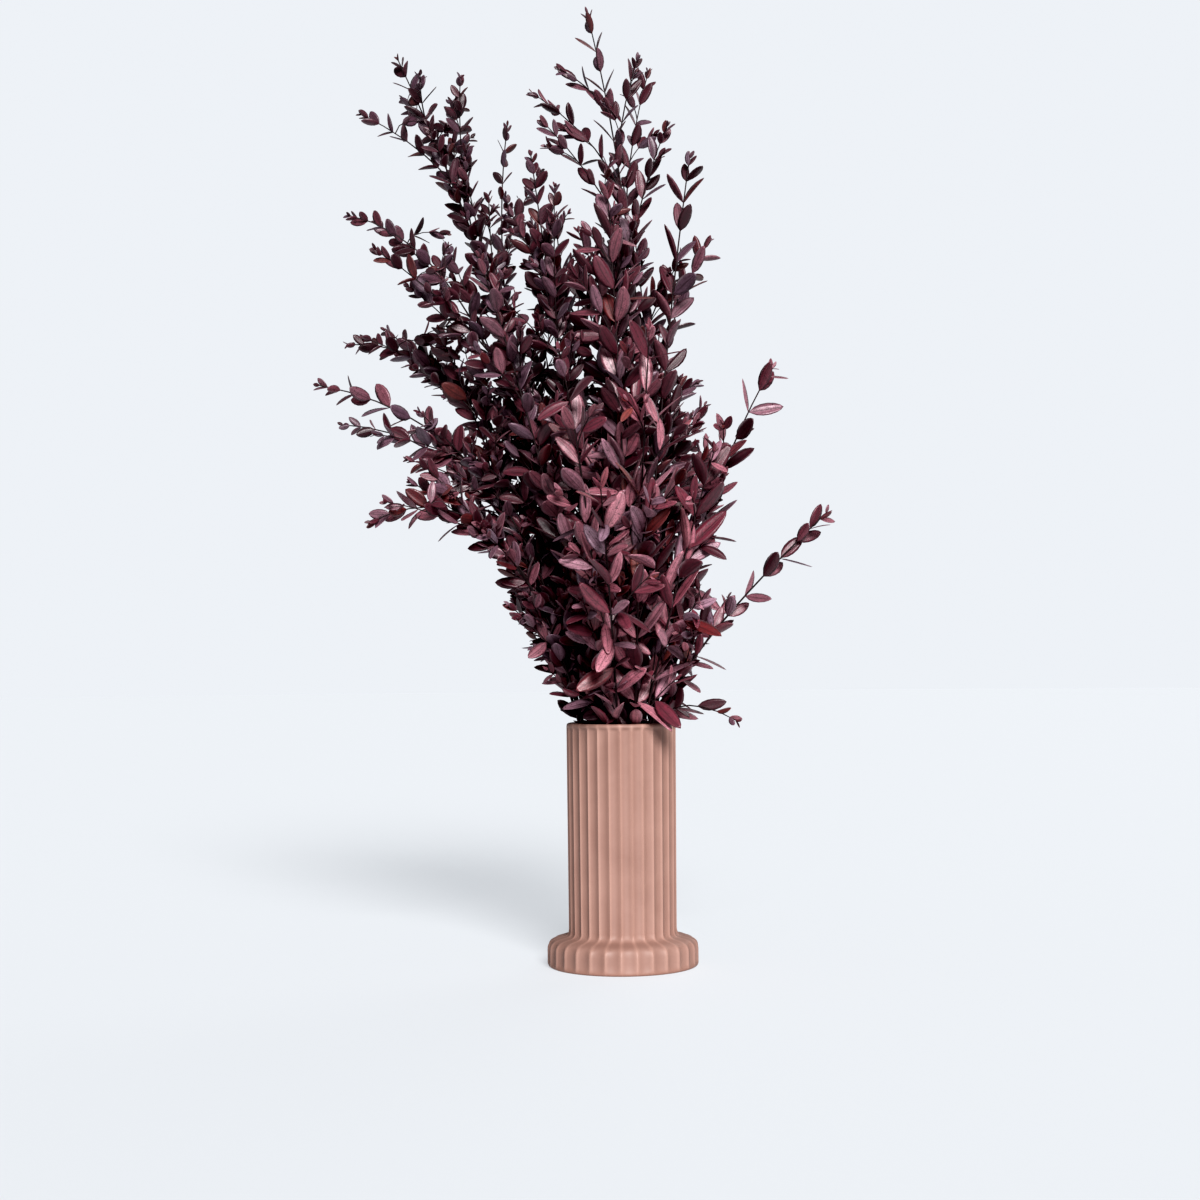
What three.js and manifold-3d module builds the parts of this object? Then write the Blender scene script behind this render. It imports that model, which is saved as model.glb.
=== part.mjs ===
// A bunch of preserved parvifolia eucalyptus standing in a fluted ceramic vase.
// Millimetres, +Z up. The origin is the middle of the vase's flat underside, and +Y is the back.
// Each leafy stem is one solid: its main stem, its side twigs and its paired leaves, grown by a
// rule from a seed. The vase is one more solid, and the stems stand loose in it.
import * as THREE from "three";
import { mergeVertices } from "three/addons/utils/BufferGeometryUtils.js";
import Module from "manifold-3d";

const wasm = await Module();
wasm.setup();

// Vase
const RIM_HEIGHT = 200;
const TUBE_RADIUS = 45.4;
const TUBE_FOOT_RADIUS = 44.7;
const FOOT_RADIUS = 62.5;
const BASE_RADIUS = 60.5;
const BORE_RADIUS = 38.5;
const BORE_FLOOR = 8;
const FLUTES = 30;
const FLUTE_TURN = -2;
const TUBE_FLUTE_DEPTH = 1.7;
const SHOULDER_FLUTE_DEPTH = 0.8;
const FOOT_FLUTE_DEPTH = 1.9;

// Stems
const SEAT_GAP = 0.3;
const SPIRAL_TURN = 65;
const FOOT_SPREAD = 0.9;
const STEM_FOOT_RADIUS = 2.1;
const STEM_TIP_RADIUS = 0.8;
const STEM_SIDES = 4;
const TWIG_BASE_RADIUS = 1.1;
const TWIG_TIP_RADIUS = 0.6;
const TWIG_SIDES = 3;

// Growth of twigs and leaves
const STEM_STEPS = 14;
const TWIG_STEPS = 5;
const TWIG_GAP = 40;
const TWIG_LONGEST = 100;
const LOWEST_TWIG = RIM_HEIGHT + 4;
const SMALLEST_LEAF = 5;
const LEAF_GROWTH = 42;
const LEAF_OPENING = 88;
const TO_LIGHT = 0.7;
const INTO_MOUTH = 14;
const RIM_CLEARANCE = 1.5;

// What the solids carry of it
const SOLID_LOWER_STEPS = 3;
const SOLID_STEM_STEPS = 6;
const SOLID_TWIG_STEPS = 2;
const SOLID_TWIG_FROM = 95;
const FIRST_PAIR = 2;
const PAIRS_ON_STEM = 6;
const PAIRS_ON_TWIG = 5;
const LEAF_THICKNESS = 1.3;
const SHORT_LEAF = 13;
const CLEARANCE = 0.4;

// Each stem: where it passes the rim (degrees from +X, distance from the axis), the point that
// it leans towards, and its tip. Then its leaf length and width to length, the share of the stem
// below which twigs grow by rule, how rosy its leaves are, for rosy leaves are older and hang more,
// and the twigs chosen by hand (share of the stem, tip).
const STEMS = [
  {
    name: "stem_left_tall", seed: 107, neck: [180, 14], elbow: [-59, 12, 491], tip: [-185, 25, 765],
    leaf: 22, slim: 0.5, bushy: 0.6, rosy: 0.12,
    twigs: [
      [0.8, [-215, 10, 714]], [0.87, [-183, 55, 740]], [0.9, [-163, -5, 743]], [0.72, [-128, -30, 732]],
      [0.77, [-137, 60, 744]], [0.68, [-155, -30, 694]], [0.6, [-108, 20, 647]],
      [0.63, [-127, -10, 667]], [0.54, [-114, 0, 593]],
    ],
  },
  {
    name: "stem_left_upper", seed: 269, neck: [195, 25], elbow: [-86, -18, 594], tip: [-218, -45, 615],
    leaf: 22, slim: 0.5, bushy: 0.62, rosy: 0.2,
    twigs: [
      [0.66, [-194, -75, 581]], [0.76, [-199, -15, 616]], [0.6, [-171, -40, 558]],
      [0.5, [-142, 10, 600]],
    ],
  },
  {
    name: "stem_left_middle", seed: 139, neck: [170, 24], elbow: [-82, 25, 529], tip: [-233, 60, 527],
    leaf: 23, slim: 0.5, bushy: 0.5, rosy: 0.22,
    twigs: [
      [0.74, [-217, 35, 529]], [0.7, [-204, 85, 544]], [0.62, [-185, 70, 530]], [0.6, [-175, 20, 503]],
    ],
  },
  {
    name: "stem_left_spray", seed: 7029, neck: [189, 35], elbow: [-70, -15, 448], tip: [-246, -30, 479],
    leaf: 24, slim: 0.5, bushy: 0.5, rosy: 0.3,
    twigs: [[0.62, [-197, -50, 436]], [0.58, [-162, -45, 455]], [0.05, [-55, -14, 242]]],
  },
  {
    name: "stem_left_rear", seed: 6048, neck: [156, 35], elbow: [-83, 35, 445], tip: [-243, 90, 461],
    leaf: 22, slim: 0.5, bushy: 0.5, rosy: 0.22,
    twigs: [[0.6, [-183, 65, 427]]],
  },
  {
    name: "stem_left_low", seed: 196, neck: [205, 35], elbow: [-89, -37, 424], tip: [-199, -70, 363],
    leaf: 25, slim: 0.46, bushy: 0.6, rosy: 0.4,
    twigs: [
      [0.5, [-169, -45, 398]], [0.56, [-184, -90, 378]], [0.42, [-159, -60, 412]],
      [0.16, [-90, -45, 297]], [0.06, [-60, -32, 245]],
    ],
  },
  {
    name: "stem_left_thin", seed: 329, neck: [143, 20], elbow: [-120, 45, 516], tip: [-94, 70, 721],
    leaf: 17, slim: 0.46, bushy: 0.5, rosy: 0.1,
    twigs: [[0.75, [-66, 90, 684]]],
  },
  {
    name: "stem_left_inner", seed: 8092, neck: [220, 10], elbow: [-44, -20, 470], tip: [-70, -40, 665],
    leaf: 21, slim: 0.46, bushy: 0.8, rosy: 0.2,
    twigs: [[0.66, [-50, -70, 632]], [0.72, [-89, -20, 625]]],
  },
  {
    name: "stem_top", seed: 124, neck: [45, 3], elbow: [45, 5, 507], tip: [-23, 10, 798],
    leaf: 24, slim: 0.38, bushy: 0.5, rosy: 0.2,
    twigs: [
      [0.78, [18, -20, 749]], [0.7, [29, 40, 757]], [0.64, [42, -30, 691]], [0.74, [-71, 45, 741]],
      [0.66, [-61, -25, 697]], [0.85, [-46, -15, 743]], [0.46, [13, -30, 610]], [0.52, [-8, 25, 629]],
    ],
  },
  {
    name: "stem_right_tall", seed: 245, neck: [333, 15], elbow: [37, -25, 512], tip: [60, -35, 663],
    leaf: 30, slim: 0.36, bushy: 0.45, rosy: 0.25,
    twigs: [],
  },
  {
    name: "stem_right_rear", seed: 345, neck: [38, 24], elbow: [2, 30, 480], tip: [81, 60, 615],
    leaf: 27, slim: 0.38, bushy: 0.45, rosy: 0.35,
    twigs: [[0.55, [69, 60, 492]], [0.38, [74, 30, 468]]],
  },
  {
    name: "stem_right_middle", seed: 198, neck: [350, 27], elbow: [66, -15, 390], tip: [127, -20, 492],
    leaf: 33, slim: 0.36, bushy: 0.5, rosy: 0.55,
    twigs: [[0.66, [83, -60, 441]]],
  },
  {
    name: "stem_right_low", seed: 313, neck: [342, 36], elbow: [40, -30, 249], tip: [166, -60, 369],
    leaf: 26, slim: 0.38, bushy: 0.3, rosy: 0.45,
    twigs: [[0.04, [93, -48, 202]], [0.35, [89, -15, 303]]],
  },
  {
    name: "stem_front_tall", seed: 24, neck: [290, 33], elbow: [15, -95, 380], tip: [23, -140, 503],
    leaf: 38, slim: 0.34, bushy: 0.75, rosy: 0.8,
    twigs: [[0.03, [18, -50, 240]]],
  },
  {
    name: "stem_front_left", seed: 25, neck: [247, 34], elbow: [-22, -105, 380], tip: [-46, -150, 487],
    leaf: 33, slim: 0.38, bushy: 0.75, rosy: 0.6,
    twigs: [[0.03, [-42, -30, 226]]],
  },
  {
    name: "stem_front_low", seed: 26, neck: [265, 36], elbow: [-8, -120, 300], tip: [-16, -170, 386],
    leaf: 34, slim: 0.36, bushy: 0.8, rosy: 0.75,
    twigs: [[0.04, [-22, -55, 234]]],
  },
  {
    name: "stem_front_right", seed: 102, neck: [303, 34], elbow: [45, -85, 320], tip: [73, -110, 414],
    leaf: 40, slim: 0.33, bushy: 0.75, rosy: 0.9,
    twigs: [[0.04, [44, -46, 236]]],
  },
  {
    name: "stem_back_left", seed: 28, neck: [127, 34], elbow: [-60, 95, 420], tip: [-106, 140, 552],
    leaf: 22, slim: 0.5, bushy: 0.7, rosy: 0.3,
    twigs: [[0.03, [-40, 44, 236]]],
  },
  {
    name: "stem_back_tall", seed: 29, neck: [97, 18], elbow: [0, 70, 460], tip: [-14, 110, 627],
    leaf: 22, slim: 0.48, bushy: 0.9, rosy: 0.3,
    twigs: [],
  },
  {
    name: "stem_back_right", seed: 30, neck: [75, 34], elbow: [25, 105, 400], tip: [40, 150, 553],
    leaf: 25, slim: 0.45, bushy: 0.75, rosy: 0.4,
    twigs: [[0.03, [26, 52, 236]]],
  },
  {
    name: "stem_back_low", seed: 31, neck: [97, 36], elbow: [-8, 130, 330], tip: [-16, 175, 427],
    leaf: 26, slim: 0.45, bushy: 0.8, rosy: 0.4,
    twigs: [],
  },
  {
    name: "stem_inner_left", seed: 32, neck: [225, 24], elbow: [-60, -50, 420], tip: [-112, -60, 578],
    leaf: 26, slim: 0.46, bushy: 0.88, rosy: 0.3,
    twigs: [],
  },
  {
    name: "stem_inner_right", seed: 129, neck: [20, 34], elbow: [60, 35, 350], tip: [76, 60, 440],
    leaf: 31, slim: 0.37, bushy: 0.75, rosy: 0.55,
    twigs: [[0.04, [54, 24, 238]]],
  },
  {
    name: "stem_centre", seed: 411, neck: [292, 17], elbow: [5, -60, 430], tip: [-8, -70, 628],
    leaf: 32, slim: 0.38, bushy: 0.93, rosy: 0.45,
    twigs: [[0.7, [-36, -72, 562]]],
  },
  {
    name: "stem_centre_back", seed: 381, neck: [70, 15], elbow: [-50, 45, 430], tip: [-58, 60, 592],
    leaf: 26, slim: 0.46, bushy: 0.94, rosy: 0.25,
    twigs: [[0.55, [-82, 42, 505]]],
  },
  {
    name: "stem_inner_tall", seed: 312, neck: [141, 35], elbow: [-30, 35, 430], tip: [-52, 22, 628],
    leaf: 25, slim: 0.42, bushy: 0.85, rosy: 0.2,
    twigs: [[0.72, [-76, 4, 606]], [0.62, [-28, 40, 596]], [0.8, [-72, 44, 628]]],
  },
  {
    name: "stem_inner_middle", seed: 113, neck: [285, 6], elbow: [0, -25, 420], tip: [-4, -34, 612],
    leaf: 29, slim: 0.38, bushy: 0.85, rosy: 0.3,
    twigs: [[0.74, [-32, -30, 604]], [0.8, [14, -52, 606]], [0.6, [-36, -8, 574]]],
  },
  {
    name: "stem_inner_rear", seed: 144, neck: [35, 33], elbow: [42, 30, 400], tip: [14, 20, 622],
    leaf: 28, slim: 0.38, bushy: 0.88, rosy: 0.25,
    twigs: [[0.7, [-18, 30, 590]]],
  },
  {
    name: "stem_centre_left", seed: 36, neck: [174, 35], elbow: [-95, 0, 400], tip: [-150, 5, 530],
    leaf: 25, slim: 0.46, bushy: 0.9, rosy: 0.25,
    twigs: [],
  },
];

// The bunch's width: at each height, how far the twigs that grow by rule reach left and right.
const WIDTH_BY_HEIGHT = [
  { height: 200, left: -44, right: 50 },
  { height: 300, left: -88, right: 60 },
  { height: 350, left: -104, right: 70 },
  { height: 400, left: -145, right: 84 },
  { height: 500, left: -145, right: 50 },
  { height: 600, left: -140, right: 56 },
  { height: 900, left: -140, right: 56 },
];
const DEPTH_AT_RIM = 50;
const DEPTH_PER_HEIGHT = 0.5;
const DEPTH_MOST = 150;

// Colours
const CLAY = new THREE.MeshStandardMaterial({ color: 0xcb9f92, roughness: 0.85, metalness: 0 });
const FOLIAGE = new THREE.MeshStandardMaterial({ color: 0x6e3440, roughness: 0.6, metalness: 0 });

const radians = THREE.MathUtils.degToRad;
const UP = new THREE.Vector3(0, 0, 1);

// Random draws

function randomSource(seed, shoot, use) {
  let state = seed * 7919 + shoot * 104729 + use * 15485863;
  const draw = (low, high) => {
    state = (state * 1664525 + 1013904223) % 4294967296;
    return low + ((high - low) * state) / 4294967296;
  };
  draw(0, 1);
  return draw;
}

// Paths

function vector(point) {
  return new THREE.Vector3(...point);
}

function pathThrough(points) {
  const run = [0];
  for (let i = 1; i < points.length; i += 1) {
    run.push(run[i - 1] + points[i].distanceTo(points[i - 1]));
  }
  return { points, run, length: run[run.length - 1] };
}

function bentPath(start, pull, end, steps) {
  return pathThrough(new THREE.QuadraticBezierCurve3(start, pull, end).getPoints(steps));
}

function pointOn(path, distance) {
  let i = 1;
  while (i < path.points.length - 1 && path.run[i] < distance) {
    i += 1;
  }
  const share = (distance - path.run[i - 1]) / (path.run[i] - path.run[i - 1]);
  const from = path.points[i - 1];
  const to = path.points[i];
  return { place: from.clone().lerp(to, share), tangent: to.clone().sub(from).normalize() };
}

function sideways(tangent, degrees) {
  const first = tangent.clone().cross(vector([0.2, 0.9, -0.38])).normalize();
  const second = tangent.clone().cross(first);
  const turn = radians(degrees);
  return first.multiplyScalar(Math.cos(turn)).addScaledVector(second, Math.sin(turn));
}

// Growth

function twigPull(start, tangent, tip) {
  const reach = tip.clone().sub(start);
  const lead = reach.clone().normalize().add(tangent).normalize();
  return start.clone().addScaledVector(lead, 0.45 * reach.length());
}

function twigPath(start, tangent, tip, steps) {
  return bentPath(start, twigPull(start, tangent, tip), tip, steps);
}

function widthAt(height) {
  for (let i = 1; i < WIDTH_BY_HEIGHT.length; i += 1) {
    const below = WIDTH_BY_HEIGHT[i - 1];
    const above = WIDTH_BY_HEIGHT[i];
    if (height <= above.height) {
      const share = Math.max(0, (height - below.height) / (above.height - below.height));
      return {
        left: below.left + (above.left - below.left) * share,
        right: below.right + (above.right - below.right) * share,
      };
    }
  }
  return WIDTH_BY_HEIGHT[WIDTH_BY_HEIGHT.length - 1];
}

// Twigs by rule along a main stem, from the share where it gets bushy down to the rim.
function twigsAlong(path, draw, bushy) {
  let at = bushy * path.length;
  let turn = draw(0, 360);
  const twigs = [];
  while (at > 0) {
    const { place, tangent } = pointOn(path, at);
    if (place.z < LOWEST_TWIG) {
      break;
    }
    const reach = Math.min(0.34 * (path.length - at) + 14, TWIG_LONGEST) * draw(0.7, 1.15);
    const outward = sideways(tangent, turn).multiplyScalar(0.62).addScaledVector(tangent, 0.8).normalize();
    outward.z += 0.15;
    const tip = place.clone().addScaledVector(outward.normalize(), reach);
    const width = widthAt(tip.z);
    tip.x = Math.min(Math.max(tip.x, width.left), width.right);
    const depth = Math.min(DEPTH_AT_RIM + DEPTH_PER_HEIGHT * (tip.z - RIM_HEIGHT), DEPTH_MOST);
    tip.y = Math.min(Math.max(tip.y, -depth), depth);
    if (tip.distanceTo(place) > 12) {
      twigs.push({ share: at / path.length, tip, path: twigPath(place, tangent, tip, TWIG_STEPS) });
    }
    turn += 137.5 + draw(-20, 20);
    at -= TWIG_GAP * draw(0.8, 1.2);
  }
  return twigs;
}

// Whether a leaf through these points stays above the rim, inside the mouth or outside the wall.
function clearsRim(points) {
  return points.every(({ x, y, z }) => {
    const radius = Math.hypot(x, y);
    const low = z < RIM_HEIGHT + RIM_CLEARANCE && radius > BORE_RADIUS - 2 && radius < TUBE_RADIUS + 2;
    return !low && (z >= RIM_HEIGHT - 4 || radius <= BORE_RADIUS);
  });
}

// Leaves stand in pairs, each pair turned a quarter from the last, and grow away from the tip.
// Their blades turn some way towards the light, which comes from the front, or behind from the back.
function leavesAlong(path, stem, draw, bare) {
  const leaves = [];
  let toTip = 1.5;
  let turn = draw(0, 180);
  for (let pair = 0; toTip < path.length - bare; pair += 1) {
    const grown = 1 - Math.exp(-toTip / (LEAF_GROWTH * stem.slim));
    const { place, tangent } = pointOn(path, path.length - toTip);
    for (const side of [0, 180]) {
      const opening = radians((0.55 + 0.45 * grown) * LEAF_OPENING * stem.slim + draw(-10, 10));
      const length = (SMALLEST_LEAF + (stem.leaf - SMALLEST_LEAF) * grown) * draw(0.82, 1.12);
      const roll = radians(draw(-36, 36));
      const sag = draw(0, 1) ** 4 * 2 * stem.rosy;
      // This draw is for the leaf's shade, which these plain solids don't show.
      draw(0, 1);
      const along = tangent.clone().multiplyScalar(Math.cos(opening));
      along.addScaledVector(sideways(tangent, turn + side), Math.sin(opening)).addScaledVector(UP, -sag);
      along.normalize();
      const level = tangent.clone().cross(along).normalize();
      const lit = vector([0.15 * place.x, place.y - 40, 20]).cross(along).normalize();
      const towards = lit.dot(level) < 0 ? -TO_LIGHT : TO_LIGHT;
      const across = level.addScaledVector(lit, towards).normalize();
      const up = along.clone().cross(across);
      across.multiplyScalar(Math.cos(roll)).addScaledVector(up, Math.sin(roll));
      const half = across.clone().multiplyScalar(length * stem.slim * 0.6);
      const middle = place.clone().addScaledVector(along, length * 0.5);
      const tip = place.clone().addScaledVector(along, length);
      if (clearsRim([place, middle.clone().sub(half), middle.clone().add(half), tip])) {
        const width = length * stem.slim * draw(0.85, 1.15);
        leaves.push({ pair, side, share: 1 - toTip / path.length, along, across, length, width });
      }
    }
    turn += 90 + draw(-14, 14);
    toTip += (5 + 0.6 * stem.leaf * grown) * draw(0.85, 1.15);
  }
  return leaves;
}

function neckOf(stem) {
  const angle = radians(stem.neck[0]);
  return vector([stem.neck[1] * Math.cos(angle), stem.neck[1] * Math.sin(angle), RIM_HEIGHT]);
}

// All shoots of a stem: the main stem, then the twigs chosen by hand, then those grown by rule.
function grow(stem) {
  const main = bentPath(neckOf(stem), vector(stem.elbow), vector(stem.tip), STEM_STEPS);
  const shoots = [{ kind: "main", path: main, bare: -INTO_MOUTH }];
  for (const [share, end] of stem.twigs) {
    const { place, tangent } = pointOn(main, share * main.length);
    const tip = vector(end);
    shoots.push({ kind: "chosen", share, tip, bare: 6, path: twigPath(place, tangent, tip, TWIG_STEPS) });
  }
  for (const twig of twigsAlong(main, randomSource(stem.seed, 0, 1), stem.bushy)) {
    shoots.push({ kind: "grown", bare: 6, ...twig });
  }
  shoots.forEach((shoot, index) => {
    shoot.leaves = leavesAlong(shoot.path, stem, randomSource(stem.seed, index, 2), shoot.bare);
  });
  return shoots;
}

// Solids

// A closed solid from a geometry, once the vertices that its faces share are merged.
function solidFrom(geometry) {
  geometry.deleteAttribute("normal");
  geometry.deleteAttribute("uv");
  const merged = mergeVertices(geometry, 1e-3);
  const vertProperties = merged.getAttribute("position").array;
  const triVerts = new Uint32Array(merged.index.array);
  return new wasm.Manifold(new wasm.Mesh({ numProp: 3, vertProperties, triVerts }));
}

// A rod along a path, pointed at its end: a lathe with one row of its profile for each point.
function rodSolid(path, { base, tip, sides, startTangent }, margin = 0) {
  const rows = path.points.length;
  const radiusAt = (row) => base + ((tip - base) * path.run[row]) / path.length + margin;
  const profile = [new THREE.Vector2(0, 0)];
  path.points.forEach((_, row) => {
    profile.push(new THREE.Vector2(row === rows - 1 ? 0 : radiusAt(row), row));
  });
  const lathe = new THREE.LatheGeometry(profile, sides);
  const position = lathe.getAttribute("position");
  for (let i = 0; i < position.count; i += 1) {
    const row = Math.round(position.getY(i));
    const before = path.points[Math.max(row - 1, 0)];
    const after = path.points[Math.min(row + 1, rows - 1)];
    const tangent = row === 0 ? startTangent : after.clone().sub(before).normalize();
    const radius = Math.hypot(position.getX(i), position.getZ(i));
    const turn = THREE.MathUtils.radToDeg(Math.atan2(position.getX(i), position.getZ(i)));
    const corner = path.points[row].clone().addScaledVector(sideways(tangent, turn), radius);
    position.setXYZ(i, corner.x, corner.y, corner.z);
  }
  return solidFrom(lathe);
}

// A leaf blade with a keel along its midrib, thin at the edges. Its root lies in the shoot's middle.
function leafSolid(leaf, root, margin = 0) {
  const face = leaf.along.clone().cross(leaf.across);
  const at = (share, across, up) => root.clone()
    .addScaledVector(leaf.along, share * (leaf.length + margin))
    .addScaledVector(leaf.across, across * (leaf.width / 2 + margin))
    .addScaledVector(face, up * (LEAF_THICKNESS + 2 * margin) - margin);
  const blade = new THREE.BufferGeometry();
  if (leaf.length < SHORT_LEAF) {
    blade.setFromPoints([at(0, 0, 0), at(0.42, -1, 0), at(1, 0, 0), at(0.42, 1, 0), at(0.42, 0, 1)]);
    blade.setIndex([0, 1, 4, 1, 2, 4, 2, 3, 4, 3, 0, 4, 0, 3, 1, 1, 3, 2]);
    return solidFrom(blade);
  }
  blade.setFromPoints([
    at(0, 0, 0), at(0.26, -0.92, 0), at(0.64, -0.88, 0), at(1, 0, 0),
    at(0.64, 0.88, 0), at(0.26, 0.92, 0), at(0.42, 0, 1),
  ]);
  blade.setIndex([0, 1, 6, 1, 2, 6, 2, 3, 6, 3, 4, 6, 4, 5, 6, 5, 0, 6, 0, 5, 1, 1, 5, 4, 1, 4, 2, 2, 4, 3]);
  return solidFrom(blade);
}

// The main stem stands on the vase's floor and leans to the rim in the bunch's spiral.
function mainStemPath(stem) {
  const neck = neckOf(stem);
  const elbow = vector(stem.elbow);
  const lean = elbow.clone().sub(neck).normalize();
  const foot = neck.clone().applyAxisAngle(UP, radians(SPIRAL_TURN)).multiplyScalar(FOOT_SPREAD);
  foot.z = BORE_FLOOR + SEAT_GAP;
  const reach = RIM_HEIGHT / 3;
  const lower = new THREE.CubicBezierCurve3(
    foot, foot.clone().addScaledVector(UP, reach), neck.clone().addScaledVector(lean, -reach), neck,
  );
  const upper = new THREE.QuadraticBezierCurve3(neck, elbow, vector(stem.tip));
  const inVase = lower.getPoints(SOLID_LOWER_STEPS).slice(0, -1);
  return pathThrough([...inVase, ...upper.getPoints(SOLID_STEM_STEPS)]);
}

// Pieces that stand already, so that a later twig or leaf that would cross one is left out.
const standing = [];

function overlaps(box, other) {
  return [0, 1, 2].every((axis) => box.min[axis] <= other.max[axis] && other.min[axis] <= box.max[axis]);
}

function isClear(wide, mayTouch) {
  const box = wide.boundingBox();
  const near = standing.filter((piece) => !mayTouch(piece) && overlaps(box, piece.box));
  return near.every((piece) => wide.intersect(piece.solid).isEmpty());
}

function stand(solid, stem, shoot) {
  standing.push({ solid, box: solid.boundingBox(), stem, shoot });
}

function meshOf(name, solid, material) {
  const mesh = solid.getMesh();
  const geometry = new THREE.BufferGeometry();
  geometry.setAttribute("position", new THREE.BufferAttribute(mesh.vertProperties, 3));
  geometry.setIndex(new THREE.BufferAttribute(mesh.triVerts, 1));
  geometry.computeVertexNormals();
  const made = new THREE.Mesh(geometry, material);
  made.name = name;
  return made;
}

// The vase's section: radius, height and how deep the flutes are there.
function vaseProfile() {
  const points = [[0, 0, 0], [BASE_RADIUS, 0, 0], [FOOT_RADIUS - 0.3, 1.6, 0]];
  points.push([FOOT_RADIUS, 5, FOOT_FLUTE_DEPTH]);
  points.push([FOOT_RADIUS, 15, FOOT_FLUTE_DEPTH]);
  points.push([FOOT_RADIUS - 1.7, 19.5, FOOT_FLUTE_DEPTH]);
  points.push([FOOT_RADIUS - 6.4, 22.3, SHOULDER_FLUTE_DEPTH]);
  points.push([TUBE_FOOT_RADIUS + 2.2, 24.8, SHOULDER_FLUTE_DEPTH]);
  points.push([TUBE_FOOT_RADIUS, 30, TUBE_FLUTE_DEPTH]);
  points.push([TUBE_RADIUS, RIM_HEIGHT - 5.5, TUBE_FLUTE_DEPTH]);
  points.push([TUBE_RADIUS, RIM_HEIGHT - 3.2, 0], [TUBE_RADIUS - 0.9, RIM_HEIGHT - 0.5, 0]);
  points.push([TUBE_RADIUS - 3.2, RIM_HEIGHT, 0], [BORE_RADIUS, RIM_HEIGHT - 1.6, 0]);
  points.push([BORE_RADIUS, BORE_FLOOR, 0], [0, BORE_FLOOR, 0]);
  return points;
}

// A lathe turned from that section, with every other line of its points pressed in as a flute.
function vaseSolid() {
  const profile = vaseProfile();
  const section = profile.map(([radius, height]) => new THREE.Vector2(radius, height));
  const lathe = new THREE.LatheGeometry(section, 2 * FLUTES, radians(FLUTE_TURN));
  const position = lathe.getAttribute("position");
  for (let i = 0; i < position.count; i += 1) {
    const [radius, , depth] = profile[i % profile.length];
    if (Math.floor(i / profile.length) % 2 === 1 && depth > 0) {
      const pressed = (radius - depth) / radius;
      position.setX(i, position.getX(i) * pressed);
      position.setZ(i, position.getZ(i) * pressed);
    }
  }
  lathe.rotateX(Math.PI / 2);
  return solidFrom(lathe);
}

// Assembly

const bouquet = new THREE.Group();
const vase = vaseSolid();
bouquet.add(meshOf("vase", vase, CLAY));
stand(vase, "vase", 0);

const plants = STEMS.map((stem) => ({ stem, shoots: grow(stem) }));

for (const { stem, shoots } of plants) {
  const main = shoots[0];
  const path = mainStemPath(stem);
  const rod = { base: STEM_FOOT_RADIUS, tip: STEM_TIP_RADIUS, sides: STEM_SIDES, startTangent: UP };
  main.solidPath = pathThrough(path.points.slice(SOLID_LOWER_STEPS));
  main.solid = rodSolid(path, rod);
  stand(main.solid, stem.name, 0);
}

// Twigs chosen by hand come first, so that those grown by rule give way to them.
for (const kind of ["chosen", "grown"]) {
  for (const { stem, shoots } of plants) {
    const main = shoots[0].solidPath;
    shoots.forEach((shoot, index) => {
      if (shoot.kind !== kind || (kind === "grown" && shoot.path.length < SOLID_TWIG_FROM)) {
        return;
      }
      const start = pointOn(main, shoot.share * main.length);
      const path = twigPath(start.place, start.tangent, shoot.tip, SOLID_TWIG_STEPS);
      const base = TWIG_BASE_RADIUS - (TWIG_BASE_RADIUS - TWIG_TIP_RADIUS) * shoot.share;
      const rod = { base, tip: TWIG_TIP_RADIUS, sides: TWIG_SIDES, startTangent: start.tangent };
      if (isClear(rodSolid(path, rod, CLEARANCE), (piece) => piece.stem === stem.name)) {
        shoot.solidPath = path;
        shoot.solid = rodSolid(path, rod);
        stand(shoot.solid, stem.name, index);
      }
    });
  }
}

for (const { stem, shoots } of plants) {
  const pieces = shoots.filter((shoot) => shoot.solid).map((shoot) => shoot.solid);
  shoots.forEach((shoot, index) => {
    if (!shoot.solid) {
      return;
    }
    const every = index === 0 ? PAIRS_ON_STEM : PAIRS_ON_TWIG;
    const due = { 0: FIRST_PAIR, 180: FIRST_PAIR };
    const isOwnRod = (piece) => piece.stem === stem.name && piece.shoot === index;
    for (const leaf of shoot.leaves.filter(({ pair, share }) => pair >= FIRST_PAIR && share > 0)) {
      const root = pointOn(shoot.solidPath, leaf.share * shoot.solidPath.length).place;
      const solid = leafSolid(leaf, root);
      const isFree = () => isClear(solid, isOwnRod) && isClear(leafSolid(leaf, root, CLEARANCE), isOwnRod);
      if (leaf.pair >= due[leaf.side] && isFree()) {
        stand(solid, stem.name, "leaf");
        pieces.push(solid);
        due[leaf.side] = leaf.pair + every;
      }
    }
  });
  bouquet.add(meshOf(stem.name, wasm.Manifold.union(pieces), FOLIAGE));
}

export default bouquet;
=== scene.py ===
# %% [markdown]
# # Preserved eucalyptus in a fluted vase
#
# The real thing is a bunch of cut eucalyptus stems, kept soft with glycerine and dyed deep
# burgundy, standing dry in a small clay vase that looks like a short fluted column. This
# lesson loads the plain solids of vase and stems, and then dresses each of them: the vase gets
# its soft flutes and its matte clay, and every stem gets all of its twigs and leaves.

# %% Load the solids
import math

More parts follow.
